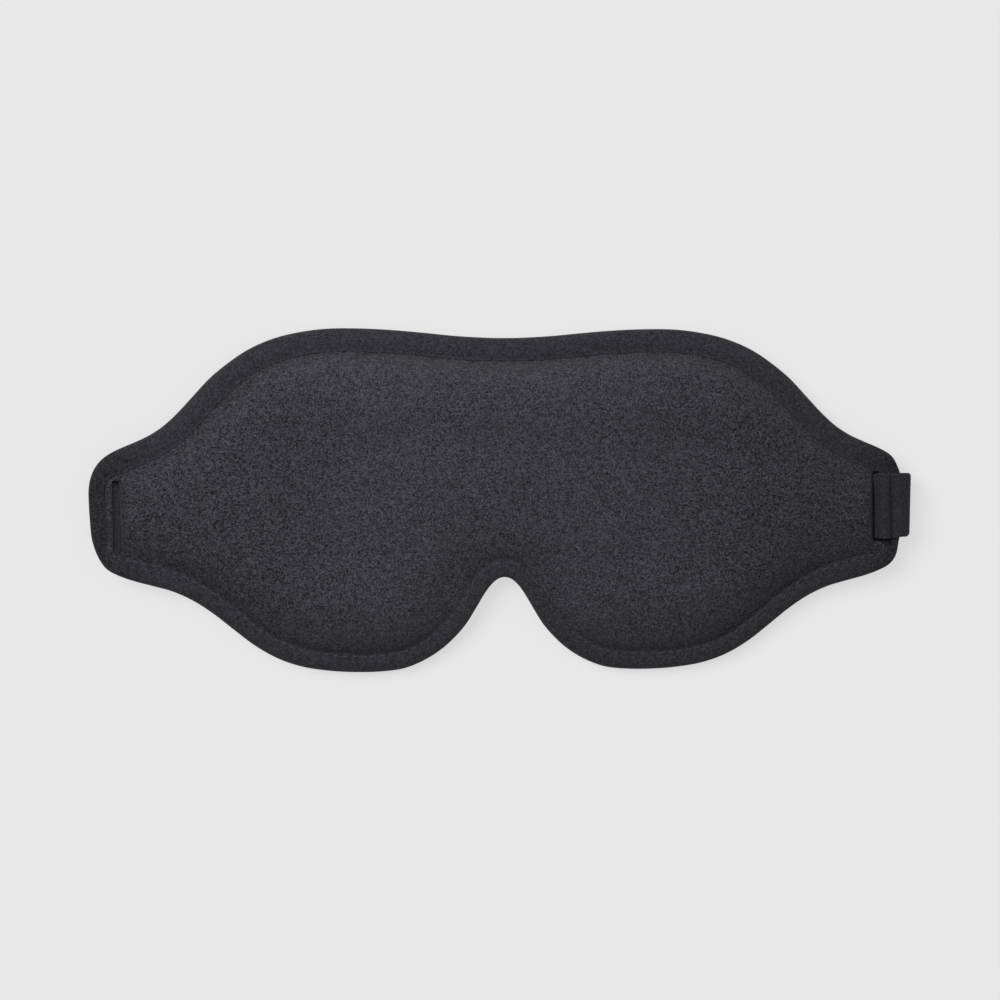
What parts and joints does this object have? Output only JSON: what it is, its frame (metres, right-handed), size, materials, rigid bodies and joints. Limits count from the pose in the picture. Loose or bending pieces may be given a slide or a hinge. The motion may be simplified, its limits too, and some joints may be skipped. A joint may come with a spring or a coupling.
{
  "type": "sleep eye mask",
  "caption": "Padded two-lobe sleep eye mask with a nose arch, bound edge, slotted end tabs and an adjustable elastic head strap that stretches back from the tabs.",
  "frame": {"origin": "centre of the flat forehead contact face of the back lining, on the nose centre line; the eye line is 33 mm towards -Y", "axes": "+X along the mask to the end tab with the slider loop, +Y towards the forehead edge, +Z out of the front face; the mask lies on its back face with the strap relaxed under it"},
  "size_m": [0.2463, 0.102, 0.0129],
  "materials": {
    "heather_knit": "matte heathered knit, dark grey with lighter and darker flecks",
    "foam": "soft open-cell foam, matte",
    "blackout": "dense woven blackout cloth, matte",
    "lining": "brushed soft knit lining, matte",
    "binding_tape": "smooth matte folded tape",
    "thread": "dark sewing thread, slight sheen",
    "stiffener": "pressed felt, matte",
    "strap_webbing": "ribbed woven elastic, matte",
    "label": "blank satin ribbon",
    "slider_plastic": "moulded black acetal, satin"
  },
  "bodies": {
    "mask": {"front_cover": "heather_knit", "foam_core": "foam", "blackout_sheet": "blackout", "back_lining": "lining", "edge_binding": "binding_tape", "binding_thread_brow": "thread", "binding_thread_cheek": "thread", "binding_thread_back": "thread", "tab_stiffener_left": "stiffener", "tab_stiffener_right": "stiffener", "care_label": "label", "strap_left_anchor": "strap_webbing", "anchor_bartack": "thread", "strap_right_loop": "strap_webbing"},
    "left_root": {"strap_left_side": "strap_webbing"},
    "left_tip": {"strap_left_turn": "strap_webbing"},
    "left_back": {"strap_left_back": "strap_webbing", "lap_bartack_left": "thread"},
    "right_root": {"strap_right_side": "strap_webbing", "strap_right_return": "strap_webbing"},
    "right_tip": {"strap_right_turn": "strap_webbing"},
    "right_back": {"strap_right_back": "strap_webbing", "lap_bartack_right": "thread"},
    "slider": {"slider_frame": "slider_plastic", "slider_strap_fold": "strap_webbing", "slider_bartack": "thread"}
  },
  "joints": [
    {"name": "strap_pull", "type": "hinge", "parent": "mask", "child": "left_root", "pos_m": [-0.11449, -0.0378, 0.0031], "axis": [-0.0104, 0.9999, 0], "range_deg": [0, 52.6]},
    {"name": "left_stretch", "type": "slide", "parent": "left_root", "child": "left_tip", "axis": [0.9999, 0.0104, 0], "range_m": [0, 0.0475]},
    {"name": "left_turn", "type": "hinge", "parent": "left_tip", "child": "left_back", "pos_m": [-0.042, -0.03704, 0.0031], "axis": [-0.0104, 0.9999, 0], "range_deg": [-53.1, 0]},
    {"name": "right_swing", "type": "hinge", "parent": "mask", "child": "right_root", "pos_m": [0.11449, -0.0354, 0.0044], "axis": [0.0104, -0.9999, 0], "range_deg": [0, 53.1]},
    {"name": "right_stretch", "type": "slide", "parent": "right_root", "child": "right_tip", "axis": [-0.9999, -0.0104, 0], "range_m": [0, 0.0475]},
    {"name": "right_turn", "type": "hinge", "parent": "right_tip", "child": "right_back", "pos_m": [0.042, -0.03616, 0.0044], "axis": [0.0104, -0.9999, 0], "range_deg": [-53.1, 0]},
    {"name": "slider_adjust", "type": "slide", "parent": "right_root", "child": "slider", "axis": [-0.9999, -0.0104, 0], "range_m": [0, 0.035]}
  ],
  "couplings": [
    {"joint": "left_stretch", "follows": "strap_pull", "m_per_rad": 0.051196},
    {"joint": "left_turn", "follows": "strap_pull", "ratio": -1},
    {"joint": "right_swing", "follows": "strap_pull", "ratio": 1},
    {"joint": "right_stretch", "follows": "strap_pull", "m_per_rad": 0.051196},
    {"joint": "right_turn", "follows": "strap_pull", "ratio": -1}
  ]
}
